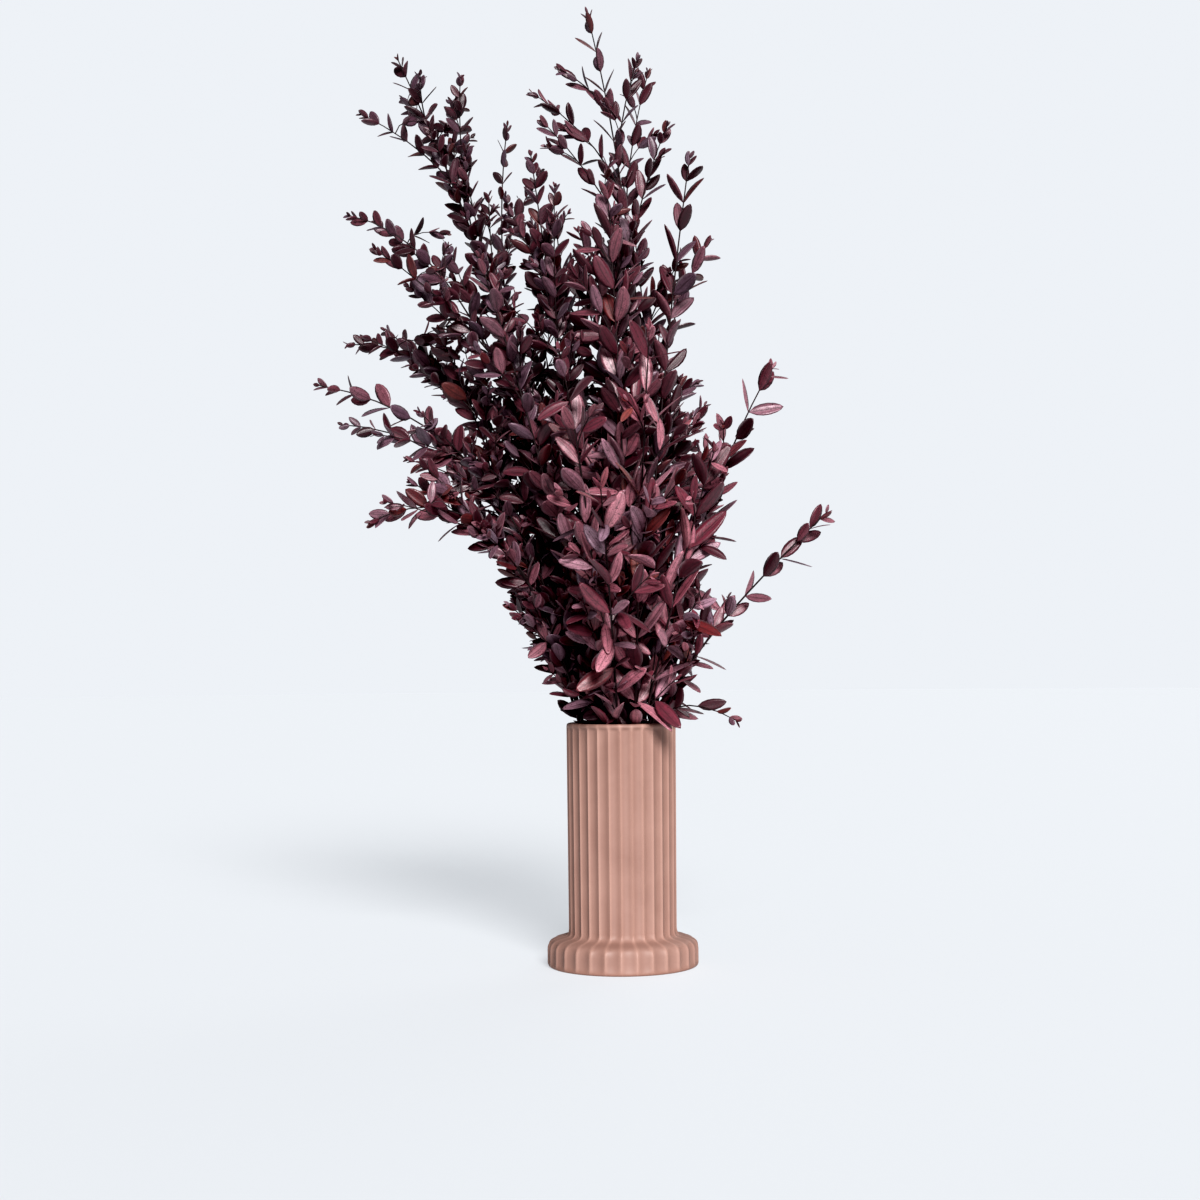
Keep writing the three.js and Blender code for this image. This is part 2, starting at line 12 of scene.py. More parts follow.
import bpy
import numpy as np
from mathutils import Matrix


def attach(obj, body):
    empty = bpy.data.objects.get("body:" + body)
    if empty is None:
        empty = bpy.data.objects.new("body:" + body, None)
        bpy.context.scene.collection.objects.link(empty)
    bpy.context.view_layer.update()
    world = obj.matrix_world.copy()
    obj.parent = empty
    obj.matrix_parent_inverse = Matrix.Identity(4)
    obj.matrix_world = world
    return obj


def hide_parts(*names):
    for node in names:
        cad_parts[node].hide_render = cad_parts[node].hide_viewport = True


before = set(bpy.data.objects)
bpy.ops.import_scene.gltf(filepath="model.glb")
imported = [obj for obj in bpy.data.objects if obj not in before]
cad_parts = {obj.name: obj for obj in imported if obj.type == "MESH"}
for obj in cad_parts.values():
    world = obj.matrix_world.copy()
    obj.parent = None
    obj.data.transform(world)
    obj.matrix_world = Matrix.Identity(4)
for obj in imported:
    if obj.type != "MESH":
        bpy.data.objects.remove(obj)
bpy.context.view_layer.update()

MM = 0.001

# %% [markdown]
# ## Camera
#
# The picture was taken from about a metre and a half away, a little above the rim of the vase,
# and tilted up by less than two degrees, so that upright lines stay upright. A camera with a
# 57 mm lens stands there. The slight roll is the real picture's own.

# %% Place the camera
bpy.ops.object.select_all(action="DESELECT")
bpy.ops.object.camera_add(
    location=(-17 * MM, -1580 * MM, 256 * MM),
    rotation=(math.radians(90 + 1.66), math.radians(0.5), 0),
)
camera = bpy.context.object
camera.data.lens = 57
camera.data.sensor_width = 36
camera.data.clip_end = 60
bpy.context.scene.camera = camera
print("camera at", [round(x, 3) for x in camera.location])

# %% [markdown]
# ## Floor and light
#
# A studio shows dark leaves best against a pale, even ground. The floor is one large pale disc
# that glows faintly, and the sky of the scene has nearly the same tone, so that the two meet
# softly. Both lamps are suns behind wide diffusers, which keeps shadow edges soft. The strong
# one stands in front, a little to the right and about 30 degrees up, so that the left side of
# the vase falls into shade. The weak one comes from behind on the right.


# %% Build the floor
def pale_material(name, colour):
    material = bpy.data.materials.new(name)
    material.use_nodes = True
    shader = material.node_tree.nodes["Principled BSDF"]
    shader.inputs["Base Color"].default_value = (*colour, 1)
    shader.inputs["Roughness"].default_value = 0.9
    return material


bpy.ops.object.select_all(action="DESELECT")
bpy.ops.mesh.primitive_circle_add(vertices=96, radius=12, fill_type="NGON", location=(0, 0, 0))
floor = bpy.context.object
floor.name = "studio_floor"
pale = pale_material("studio_floor", (0.27, 0.275, 0.28))
# A little light of its own keeps the shadow on the floor as faint as on a lit white table.
pale.node_tree.nodes["Principled BSDF"].inputs["Emission Color"].default_value = (0.83, 0.86, 0.90, 1)
pale.node_tree.nodes["Principled BSDF"].inputs["Emission Strength"].default_value = 0.46
floor.data.materials.append(pale)
print("floor radius 12 m")


# %% Hang the lamps
def soft_sun(name, azimuth, height, softness, strength):
    """A sun behind a large diffuser. Azimuth is counted from the front, positive to the right."""
    bpy.ops.object.light_add(type="SUN", location=(0, 0, 2))
    lamp = bpy.context.object
    lamp.name = name
    lamp.data.angle = math.radians(softness)
    lamp.data.energy = strength
    lamp.rotation_euler = (math.radians(90 - height), 0, math.radians(azimuth))
    return lamp


soft_sun("key_lamp", 12, 31, 24, 3.5)
soft_sun("rear_lamp", 150, 35, 40, 0.3)
world = bpy.data.worlds.new("studio")
bpy.context.scene.world = world
world.use_nodes = True
sky = world.node_tree.nodes["Background"]
sky.inputs["Color"].default_value = (0.83, 0.855, 0.89, 1)
# The room's walls look bright behind the bunch, but give less light than the lamps do.
to_camera = world.node_tree.nodes.new("ShaderNodeLightPath")
dimming = world.node_tree.nodes.new("ShaderNodeMapRange")
dimming.inputs["To Min"].default_value = 0.2
dimming.inputs["To Max"].default_value = 0.74
world.node_tree.links.new(to_camera.outputs["Is Camera Ray"], dimming.inputs["Value"])
world.node_tree.links.new(dimming.outputs["Result"], sky.inputs["Strength"])
bpy.context.scene.view_settings.view_transform = "Standard"
bpy.context.scene.view_settings.look = "High Contrast"
# The gaps deep in the bunch are to go fully dark, as they do in a print with some contrast.
bpy.context.scene.view_settings.use_curve_mapping = True
bpy.context.scene.view_settings.curve_mapping.black_level = (0.010, 0.010, 0.010)
bpy.context.scene.view_settings.curve_mapping.update()

# %% [markdown]
# ## The vase: a section pulled up ring by ring
#
# The real vase is cast in clay: a nearly straight tube, a touch narrower where it meets its
# wider, rounded foot, with thirty hollow flutes running down both. A lathe could turn it, but its flutes would still have to be cut. Here
# one circle of 360 points is extruded and scaled from ring to ring up the outside, over
# the lip and down into the bore, as a potter pulls a wall. Twelve points then fall on each flute,
# and each flute is pressed in by scaling those points towards the axis.

# %% Sizes of the vase, in millimetres
RIM_HEIGHT = 200
TUBE_RADIUS = 45.4  # at the rim
TUBE_FOOT_RADIUS = 44.7  # where the tube meets the foot
FOOT_RADIUS = 62.5
BASE_RADIUS = 60.5
BORE_RADIUS = 38.5
BORE_FLOOR = 8
FLUTES = 30
FLUTE_TURN = -92  # degrees: one ridge faces the front, a little to the left
RING_POINTS = 12 * FLUTES

# Radius, height and depth of the flutes, from the underside up and over into the bore.
SECTION = [
    (BASE_RADIUS, 0, 0), (FOOT_RADIUS - 0.9, 0.6, 0), (FOOT_RADIUS - 0.3, 1.6, 0.3),
    (FOOT_RADIUS, 3.0, 1.1), (FOOT_RADIUS, 5.0, 1.8), (FOOT_RADIUS, 9.5, 2.0),
    (FOOT_RADIUS, 14.0, 2.0), (FOOT_RADIUS - 0.2, 16.2, 2.0), (FOOT_RADIUS - 0.7, 17.9, 1.9),
    (FOOT_RADIUS - 1.7, 19.5, 1.5), (FOOT_RADIUS - 3.3, 20.8, 0.9), (FOOT_RADIUS - 5.2, 21.8, 0.6),
    (FOOT_RADIUS - 8.0, 22.7, 0.4), (FOOT_RADIUS - 11.4, 23.5, 0.4), (TUBE_FOOT_RADIUS + 3.6, 24.2, 0.5),
    (TUBE_FOOT_RADIUS + 2.0, 25.0, 0.8), (TUBE_FOOT_RADIUS + 0.9, 26.2, 1.2),
    (TUBE_FOOT_RADIUS + 0.3, 27.9, 1.5),
    (TUBE_FOOT_RADIUS, 30.5, 1.7), (TUBE_FOOT_RADIUS + 0.2, 80, 1.7), (TUBE_RADIUS - 0.2, 140, 1.7),
    (TUBE_RADIUS, RIM_HEIGHT - 6.2, 1.7), (TUBE_RADIUS, RIM_HEIGHT - 4.8, 1.5),
    (TUBE_RADIUS, RIM_HEIGHT - 3.7, 0.8), (TUBE_RADIUS, RIM_HEIGHT - 2.8, 0),
    (TUBE_RADIUS - 0.3, RIM_HEIGHT - 1.3, 0), (TUBE_RADIUS - 0.9, RIM_HEIGHT - 0.5, 0),
    (TUBE_RADIUS - 2.0, RIM_HEIGHT - 0.1, 0), (TUBE_RADIUS - 3.6, RIM_HEIGHT, 0),
    (BORE_RADIUS + 1.6, RIM_HEIGHT - 0.3, 0), (BORE_RADIUS + 0.4, RIM_HEIGHT - 1.2, 0),
    (BORE_RADIUS, RIM_HEIGHT - 3, 0), (BORE_RADIUS, 120, 0), (BORE_RADIUS, 13, 0),
    (BORE_RADIUS - 1.4, 9.6, 0), (BORE_RADIUS - 4.5, BORE_FLOOR, 0),
]
print("rings in the section:", len(SECTION))

# %% Pull the wall up from a circle
bpy.ops.object.select_all(action="DESELECT")
bpy.ops.mesh.primitive_circle_add(vertices=RING_POINTS, radius=BASE_RADIUS * MM, location=(0, 0, 0))
vase = bpy.context.object
vase.name = "clay_vase"
vase.data.name = "clay_vase"
bpy.ops.object.mode_set(mode="EDIT")
bpy.ops.mesh.select_all(action="SELECT")
for (radius, height, _), (next_radius, next_height, _) in zip(SECTION, SECTION[1:]):
    grow_by = next_radius / radius
    bpy.ops.mesh.extrude_edges_move(TRANSFORM_OT_translate={"value": (0, 0, (next_height - height) * MM)})
    bpy.ops.transform.resize(value=(grow_by, grow_by, 1), center_override=(0, 0, next_height * MM))
bpy.ops.mesh.edge_face_add()
bpy.ops.object.mode_set(mode="OBJECT")
print("points in the wall:", len(vase.data.vertices))


# %% Close the underside
def vertex_places(obj):
    places = np.empty(len(obj.data.vertices) * 3)
    obj.data.vertices.foreach_get("co", places)
    return places.reshape(-1, 3)


def select_vertices(obj, chosen):
    """Selects these vertices, and no edges or faces but those between them."""
    bpy.ops.object.mode_set(mode="EDIT")
    bpy.ops.mesh.select_mode(type="VERT")
    bpy.ops.mesh.select_all(action="DESELECT")
    bpy.ops.object.mode_set(mode="OBJECT")
    obj.data.vertices.foreach_set("select", np.asarray(chosen, dtype=bool))
    bpy.ops.object.mode_set(mode="EDIT")


underside = np.hypot(*vertex_places(vase).T[:2]) > 50 * MM
select_vertices(vase, underside & (vertex_places(vase)[:, 2] < 0.1 * MM))
bpy.ops.mesh.edge_face_add()
bpy.ops.mesh.select_all(action="SELECT")
bpy.ops.mesh.normals_make_consistent(inside=False)
bpy.ops.object.mode_set(mode="OBJECT")
print("faces of the vase:", len(vase.data.polygons))

# %% Press the flutes in
wall = vertex_places(vase) / MM
angle = np.degrees(np.arctan2(wall[:, 1], wall[:, 0]))
step_in_flute = np.round((angle - FLUTE_TURN) % (360 / FLUTES)).astype(int) % 12
ring_radius = np.hypot(wall[:, 0], wall[:, 1])
for radius, height, depth in SECTION:
    on_ring = (abs(wall[:, 2] - height) < 0.02) & (abs(ring_radius - radius) < 0.02)
    for step in range(1, 7) if depth > 0 else ():
        hollow = 1 - (2 * step / 12 - 1) ** 2
        press = 1 - depth * hollow / radius
        select_vertices(vase, on_ring & ((step_in_flute == step) | (step_in_flute == 12 - step)))
        bpy.ops.transform.resize(value=(press, press, 1), center_override=(0, 0, height * MM))
        bpy.ops.object.mode_set(mode="OBJECT")
bpy.ops.object.shade_smooth_by_angle(angle=math.radians(60))
ridge = vase.data.attributes.new("ridge", "FLOAT", "POINT")
ridge.data.foreach_set("value", (1 - np.minimum(step_in_flute, 12 - step_in_flute) / 6).astype(np.float32))
print("flutes:", FLUTES, "deepest", max(depth for _, _, depth in SECTION), "mm")


# %% [markdown]
# ## A helper for materials
#
# A material is a small graph of nodes. These helpers add a node, set its values and join its
# sockets in one line, so that each material below reads from the pattern to the shader.

# %% Helpers for node graphs
def add_node(tree, kind, settings=None, **values):
    node = tree.nodes.new(kind)
    for name, value in (settings or {}).items():
        setattr(node, name, value)
    for name, value in values.items():
        node.inputs[name.replace("_", " ")].default_value = value
    return node


def join(tree, *pairs):
    for output, input_ in pairs:
        tree.links.new(output, input_)


def colour_steps(tree, factor, steps):
    """A colour ramp through (position, colour) steps."""
    ramp = add_node(tree, "ShaderNodeValToRGB")
    while len(ramp.color_ramp.elements) < len(steps):
        ramp.color_ramp.elements.new(0.5)
    for element, (position, colour) in zip(ramp.color_ramp.elements, steps):
        element.position = position
        element.color = (*colour, 1)
    join(tree, (factor, ramp.inputs["Fac"]))
    return ramp.outputs["Color"]


def new_group(name, inputs, outputs):
    group = bpy.data.node_groups.new(name, "ShaderNodeTree")
    for socket, value in inputs.items():
        made = group.interface.new_socket(socket, in_out="INPUT", socket_type="NodeSocketFloat")
        made.default_value = value
    for socket, kind in outputs.items():
        group.interface.new_socket(socket, in_out="OUTPUT", socket_type=kind)
    return group, group.nodes.new("NodeGroupInput"), group.nodes.new("NodeGroupOutput")


print("helpers ready")

# %% [markdown]
# ## Fine mottling, shared by clay, bark and leaves
#
# Nothing here is one flat colour. Fired clay has a fine grain and soft clouds, and dyed leaves
# and bark took up the dye unevenly. All three need the same thing at different scales: a cloudy
# value and a fine grain. So it is one node group with named inputs, placed in each material.

# %% Build the mottling group
mottling, given, result = new_group(
    "mottling",
    {"Cloud Scale": 20.0, "Grain Scale": 900.0},
    {"Clouds": "NodeSocketFloat", "Grain": "NodeSocketFloat"},
)
where = add_node(mottling, "ShaderNodeTexCoord")
clouds = add_node(mottling, "ShaderNodeTexNoise", Detail=3.0, Roughness=0.55)
grain = add_node(mottling, "ShaderNodeTexNoise", Detail=2.0, Roughness=0.6)
join(
    mottling,
    (where.outputs["Object"], clouds.inputs["Vector"]),
    (where.outputs["Object"], grain.inputs["Vector"]),
    (given.outputs["Cloud Scale"], clouds.inputs["Scale"]),
    (given.outputs["Grain Scale"], grain.inputs["Scale"]),
    (clouds.outputs["Fac"], result.inputs["Clouds"]),
    (grain.outputs["Fac"], result.inputs["Grain"]),
)
print("group:", mottling.name)


def add_mottling(tree, cloud_scale, grain_scale):
    node = add_node(tree, "ShaderNodeGroup", {"node_tree": mottling})
    node.inputs["Cloud Scale"].default_value = cloud_scale
    node.inputs["Grain Scale"].default_value = grain_scale
    return node


def mix_colour(tree, factor, first, second, blend="MIX"):
    """Mixes two colours, each a socket or a plain colour, by a socket or a number."""
    node = add_node(tree, "ShaderNodeMix", {"data_type": "RGBA", "blend_type": blend})
    for socket, value in ((node.inputs[0], factor), (node.inputs[6], first), (node.inputs[7], second)):
        if isinstance(value, bpy.types.NodeSocket):
            join(tree, (value, socket))
        else:
            socket.default_value = value if isinstance(value, float) else (*value, 1)
    return node.outputs[2]


def ramp_value(tree, value, from_low, from_high, to_low, to_high):
    """Stretches a value from one range to another, and holds it at the ends."""
    node = add_node(tree, "ShaderNodeMapRange")
    names = ("From Min", "From Max", "To Min", "To Max")
    for name, number in zip(names, (from_low, from_high, to_low, to_high)):
        node.inputs[name].default_value = number
    join(tree, (value, node.inputs["Value"]))
    return node.outputs["Result"]


def bump(tree, height, strength, distance):
    node = add_node(tree, "ShaderNodeBump", Strength=strength, Distance=distance)
    join(tree, (height, node.inputs["Height"]))
    return node.outputs["Normal"]


# %% [markdown]
# ## Clay
#
# The vase has no glaze. Its clay is a dusty pink terracotta with a very fine grain that
# breaks the light up. It is a little paler on the ridges, partly a painted highlight along
# them and partly where the slip is thin and hands touch it, and a little browner in the last
# millimetres above the table.

# %% Make the clay
clay = bpy.data.materials.new("matte_clay")
clay.use_nodes = True
tree = clay.node_tree
shader = tree.nodes["Principled BSDF"]
pattern = add_mottling(tree, 28.0, 1600.0)
base = colour_steps(tree, pattern.outputs["Clouds"], [
    (0.35, (0.296, 0.179, 0.148)), (0.65, (0.331, 0.204, 0.170))])
on_ridge = add_node(tree, "ShaderNodeAttribute", {"attribute_name": "ridge"})
# The ridges are painted paler: partly a painted highlight, partly wear where the slip is thin.
wear_and_painted_highlight = ramp_value(tree, on_ridge.outputs["Fac"], 0.55, 1.0, 0.0, 0.25)
paler = mix_colour(tree, wear_and_painted_highlight, base, (0.66, 0.42, 0.35))
where = add_node(tree, "ShaderNodeTexCoord")
split = add_node(tree, "ShaderNodeSeparateXYZ")
join(tree, (where.outputs["Object"], split.inputs["Vector"]))
low_down = ramp_value(tree, split.outputs["Z"], 0.0, 4.5 * MM, 0.55, 0.0)
browner = mix_colour(tree, low_down, paler, (0.30, 0.15, 0.11))
speckle = ramp_value(tree, pattern.outputs["Grain"], 0.3, 0.7, 0.0, 0.10)
clay_colour = mix_colour(tree, speckle, browner, (0.34, 0.19, 0.15))
roughness = ramp_value(tree, pattern.outputs["Clouds"], 0.3, 0.7, 0.5, 0.62)
join(
    tree,
    (clay_colour, shader.inputs["Base Color"]),
    (roughness, shader.inputs["Roughness"]),
    (bump(tree, pattern.outputs["Grain"], 0.25, 0.06 * MM), shader.inputs["Normal"]),
)
vase.data.materials.append(clay)
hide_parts("vase")
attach(vase, "root")
print("vase dressed")

# %% [markdown]
# ## How a stem grows
#
# Every stem of the real bunch follows the same plan. It leaves the vase, bends to where it
# finds light, and sends out twigs. Leaves stand in opposite pairs, each pair a quarter turn from
# the last, tiny at the tip and full-sized further down. Modelling five thousand leaves one by one
# would be hopeless, and scattering them at random would look like a hedge. So the plan itself is
# written down: the stems are listed, and the rest grows from each stem's own seed.

# %% The stems
# Name, seed, place at the rim (degrees, distance), leaning point, tip, leaf length, width to
# length, share below which twigs grow by rule, how rosy its leaves are, and the twigs listed
# one by one (share of the stem, tip). Millimetres.
# The rosy share is partly painted light and shade: high on stems in front and on the right, low on stems
# inside, on the left and at the top.
STEMS = [
    ("stem_left_tall", 107, (180, 14), (-59, 12, 491), (-185, 25, 765), 22, 0.50, 0.6, 0.12, [
        (0.8, (-215, 10, 714)), (0.87, (-183, 55, 740)), (0.9, (-163, -5, 743)), (0.72, (-128, -30, 732)),
        (0.77, (-137, 60, 744)), (0.68, (-155, -30, 694)), (0.6, (-108, 20, 647)), (0.63, (-127, -10, 667)),
        (0.54, (-114, 0, 593))]),
    ("stem_left_upper", 269, (195, 25), (-86, -18, 594), (-218, -45, 615), 22, 0.50, 0.62, 0.2, [
        (0.66, (-194, -75, 581)), (0.76, (-199, -15, 616)), (0.6, (-171, -40, 558)), (0.5, (-142, 10, 600))]),
    ("stem_left_middle", 139, (170, 24), (-82, 25, 529), (-233, 60, 527), 23, 0.50, 0.5, 0.22, [
        (0.74, (-217, 35, 529)), (0.7, (-204, 85, 544)), (0.62, (-185, 70, 530)), (0.6, (-175, 20, 503))]),
    ("stem_left_spray", 7029, (189, 35), (-70, -15, 448), (-246, -30, 479), 24, 0.50, 0.5, 0.3, [
        (0.62, (-197, -50, 436)), (0.58, (-162, -45, 455)), (0.05, (-55, -14, 242))]),
    ("stem_left_rear", 6048, (156, 35), (-83, 35, 445), (-243, 90, 461), 22, 0.50, 0.5, 0.22, [
        (0.6, (-183, 65, 427))]),
    ("stem_left_low", 196, (205, 35), (-89, -37, 424), (-199, -70, 363), 25, 0.46, 0.6, 0.4, [
        (0.5, (-169, -45, 398)), (0.56, (-184, -90, 378)), (0.42, (-159, -60, 412)), (0.16, (-90, -45, 297)),
        (0.06, (-60, -32, 245))]),
    ("stem_left_thin", 329, (143, 20), (-120, 45, 516), (-94, 70, 721), 17, 0.46, 0.5, 0.1, [
        (0.75, (-66, 90, 684))]),
    ("stem_left_inner", 8092, (220, 10), (-44, -20, 470), (-70, -40, 665), 21, 0.46, 0.8, 0.2, [
        (0.66, (-50, -70, 632)), (0.72, (-89, -20, 625))]),
    ("stem_top", 124, (45, 3), (45, 5, 507), (-23, 10, 798), 24, 0.38, 0.5, 0.2, [
        (0.78, (18, -20, 749)), (0.7, (29, 40, 757)), (0.64, (42, -30, 691)), (0.74, (-71, 45, 741)),
        (0.66, (-61, -25, 697)), (0.85, (-46, -15, 743)), (0.46, (13, -30, 610)), (0.52, (-8, 25, 629))]),
    ("stem_right_tall", 245, (333, 15), (37, -25, 512), (60, -35, 663), 30, 0.36, 0.45, 0.25, []),
    ("stem_right_rear", 345, (38, 24), (2, 30, 480), (81, 60, 615), 27, 0.38, 0.45, 0.35, [
        (0.55, (69, 60, 492)), (0.38, (74, 30, 468))]),
    ("stem_right_middle", 198, (350, 27), (66, -15, 390), (127, -20, 492), 33, 0.36, 0.5, 0.55, [
        (0.66, (83, -60, 441))]),
    ("stem_right_low", 313, (342, 36), (40, -30, 249), (166, -60, 369), 26, 0.38, 0.3, 0.45, [
        (0.04, (93, -48, 202)), (0.35, (89, -15, 303))]),
    ("stem_front_tall", 24, (290, 33), (15, -95, 380), (23, -140, 503), 38, 0.34, 0.75, 0.8, [
        (0.03, (18, -50, 240))]),
    ("stem_front_left", 25, (247, 34), (-22, -105, 380), (-46, -150, 487), 33, 0.38, 0.75, 0.6, [
        (0.03, (-42, -30, 226))]),
    ("stem_front_low", 26, (265, 36), (-8, -120, 300), (-16, -170, 386), 34, 0.36, 0.8, 0.75, [
        (0.04, (-22, -55, 234))]),
    ("stem_front_right", 102, (303, 34), (45, -85, 320), (73, -110, 414), 40, 0.33, 0.75, 0.9, [
        (0.04, (44, -46, 236))]),
    ("stem_back_left", 28, (127, 34), (-60, 95, 420), (-106, 140, 552), 22, 0.50, 0.7, 0.3, [
        (0.03, (-40, 44, 236))]),
    ("stem_back_tall", 29, (97, 18), (0, 70, 460), (-14, 110, 627), 22, 0.48, 0.9, 0.3, []),
    ("stem_back_right", 30, (75, 34), (25, 105, 400), (40, 150, 553), 25, 0.45, 0.75, 0.4, [
        (0.03, (26, 52, 236))]),
    ("stem_back_low", 31, (97, 36), (-8, 130, 330), (-16, 175, 427), 26, 0.45, 0.8, 0.4, []),
    ("stem_inner_left", 32, (225, 24), (-60, -50, 420), (-112, -60, 578), 26, 0.46, 0.88, 0.3, []),
    ("stem_inner_right", 129, (20, 34), (60, 35, 350), (76, 60, 440), 31, 0.37, 0.75, 0.55, [
        (0.04, (54, 24, 238))]),
    ("stem_centre", 411, (292, 17), (5, -60, 430), (-8, -70, 628), 32, 0.38, 0.93, 0.45, [
        (0.7, (-36, -72, 562))]),
    ("stem_centre_back", 381, (70, 15), (-50, 45, 430), (-58, 60, 592), 26, 0.46, 0.94, 0.25, [
        (0.55, (-82, 42, 505))]),
    ("stem_inner_tall", 312, (141, 35), (-30, 35, 430), (-52, 22, 628), 25, 0.42, 0.85, 0.2, [
        (0.72, (-76, 4, 606)), (0.62, (-28, 40, 596)), (0.8, (-72, 44, 628))]),
    ("stem_inner_middle", 113, (285, 6), (0, -25, 420), (-4, -34, 612), 29, 0.38, 0.85, 0.3, [
        (0.74, (-32, -30, 604)), (0.8, (14, -52, 606)), (0.6, (-36, -8, 574))]),
    ("stem_inner_rear", 144, (35, 33), (42, 30, 400), (14, 20, 622), 28, 0.38, 0.88, 0.25, [
        (0.7, (-18, 30, 590))]),
    ("stem_centre_left", 36, (174, 35), (-95, 0, 400), (-150, 5, 530), 25, 0.46, 0.9, 0.25, []),
]
print("stems:", len(STEMS))

# %% [markdown]
# ### Paths and random draws
#
# A path is a list of points with the distance run at each. The random draws come from a
# small counter of our own and not from a library, so the same seed gives the same plant
# everywhere, and each shoot has a source of its own, so that a change to one leaves the rest alone.


# %% Draws and paths
def random_source(seed, shoot, use):
    state = seed * 7919 + shoot * 104729 + use * 15485863

    def draw(low, high):
        nonlocal state
        state = (state * 1664525 + 1013904223) % 4294967296
        return low + (high - low) * state / 4294967296

    draw(0, 1)
    return draw


def unit(vector):
    return vector / math.sqrt(vector @ vector)


def cross(a, b):
    return np.array((a[1] * b[2] - a[2] * b[1], a[2] * b[0] - a[0] * b[2], a[0] * b[1] - a[1] * b[0]))


def path_through(points):
    points = np.array(points, dtype=float)
    run = np.concatenate(([0], np.cumsum(np.linalg.norm(np.diff(points, axis=0), axis=1))))
    return {"points": points, "run": run, "length": run[-1]}


def bent_path(start, pull, end, steps):
    start, pull, end = (np.array(point, dtype=float) for point in (start, pull, end))
    shares = np.linspace(0, 1, steps + 1)[:, None]
    return path_through((1 - shares) ** 2 * start + 2 * shares * (1 - shares) * pull + shares**2 * end)


def point_on(path, distance):
    run, points = path["run"], path["points"]
    i = min(max(int(np.searchsorted(run, distance)), 1), len(points) - 1)
    share = (distance - run[i - 1]) / (run[i] - run[i - 1])
    return points[i - 1] + (points[i] - points[i - 1]) * share, unit(points[i] - points[i - 1])


def sideways(tangent, degrees):
    first = unit(cross(tangent, np.array((0.2, 0.9, -0.38))))
    turn = math.radians(degrees)
    return first * math.cos(turn) + cross(tangent, first) * math.sin(turn)


print("first draws of seed 11:", [round(random_source(11, 0, use)(0, 1), 3) for use in (1, 2)])

# %% [markdown]
# ### Twigs
#
# A twig leaves its stem at a narrow angle and then turns towards its tip. The twigs by rule
# start below the share of the stem where it gets bushy, a few centimetres apart, each
# turned by the golden angle from the last, so that none stands right above another. They are kept
# inside the outline of the whole bunch, because in a real bunch they lean on their neighbours.

# %% Growth of twigs
WIDTH_BY_HEIGHT = np.array([
    # height, left, right
    (200, -44, 50), (300, -88, 60), (350, -104, 70), (400, -145, 84), (500, -145, 50), (600, -140, 56),
])
DEPTH_AT_RIM = 50
DEPTH_PER_HEIGHT = 0.5
DEPTH_MOST = 150


def twig_path(start, tangent, tip, steps=5):
    tip = np.array(tip, dtype=float)
    reach = tip - start
    size = math.sqrt(reach @ reach)
    return bent_path(start, start + unit(reach / size + tangent) * 0.45 * size, tip, steps)


def twigs_along(path, draw, bushy, lowest, longest, gap):
    """Twigs by rule on a shoot, from the share where it gets bushy down to its base."""
    at = bushy * path["length"]
    turn = draw(0, 360)
    twigs = []
    while at > 0:
        place, tangent = point_on(path, at)
        if place[2] < lowest:
            break
        reach = min(0.34 * (path["length"] - at) + 14, longest) * draw(0.7, 1.15)
        outward = unit(sideways(tangent, turn) * 0.62 + tangent * 0.8) + (0, 0, 0.15)
        tip = place + unit(outward) * reach
        heights, lefts, rights = WIDTH_BY_HEIGHT.T
        tip[0] = min(max(tip[0], np.interp(tip[2], heights, lefts)), np.interp(tip[2], heights, rights))
        depth = min(DEPTH_AT_RIM + DEPTH_PER_HEIGHT * (tip[2] - RIM_HEIGHT), DEPTH_MOST)
        tip[1] = min(max(tip[1], -depth), depth)
        if np.linalg.norm(tip - place) > 12:
            twigs.append(twig_path(place, tangent, tip))
        turn += 137.5 + draw(-20, 20)
        at -= gap * draw(0.8, 1.2)
    return twigs


print("outline at 350 mm:", WIDTH_BY_HEIGHT[2])

# %% [markdown]
# ### Leaves
#
# Leaf pairs are laid out from the tip back, because that is where they are small and close. Each
# leaf opens away from its twig, more so as it ages, and the space to the next pair grows with
# it. Blades turn partly to the light in front, and each is then rolled a little about its own
# length, as no two leaves of a dried stem face quite the same way. Some rosy leaves hang.

# %% Growth of leaves
SMALLEST_LEAF = 5
LEAF_GROWTH = 42
LEAF_OPENING = 88
TO_LIGHT = 0.7
INTO_MOUTH = 14  # how far below the rim leaves still grow on a main stem
BARE_ON_TWIG = 6  # without leaves, at the foot of a twig
RIM_CLEARANCE = 1.5


def clears_rim(*points):
    """Whether a leaf through these points keeps off the lip and doesn't hang down outside it."""
    for x, y, z in points:
        radius = math.hypot(x, y)
        if z < RIM_HEIGHT + RIM_CLEARANCE and BORE_RADIUS - 2 < radius < TUBE_RADIUS + 2:
            return False
        if z < RIM_HEIGHT - 4 and radius > BORE_RADIUS:
            return False
    return True


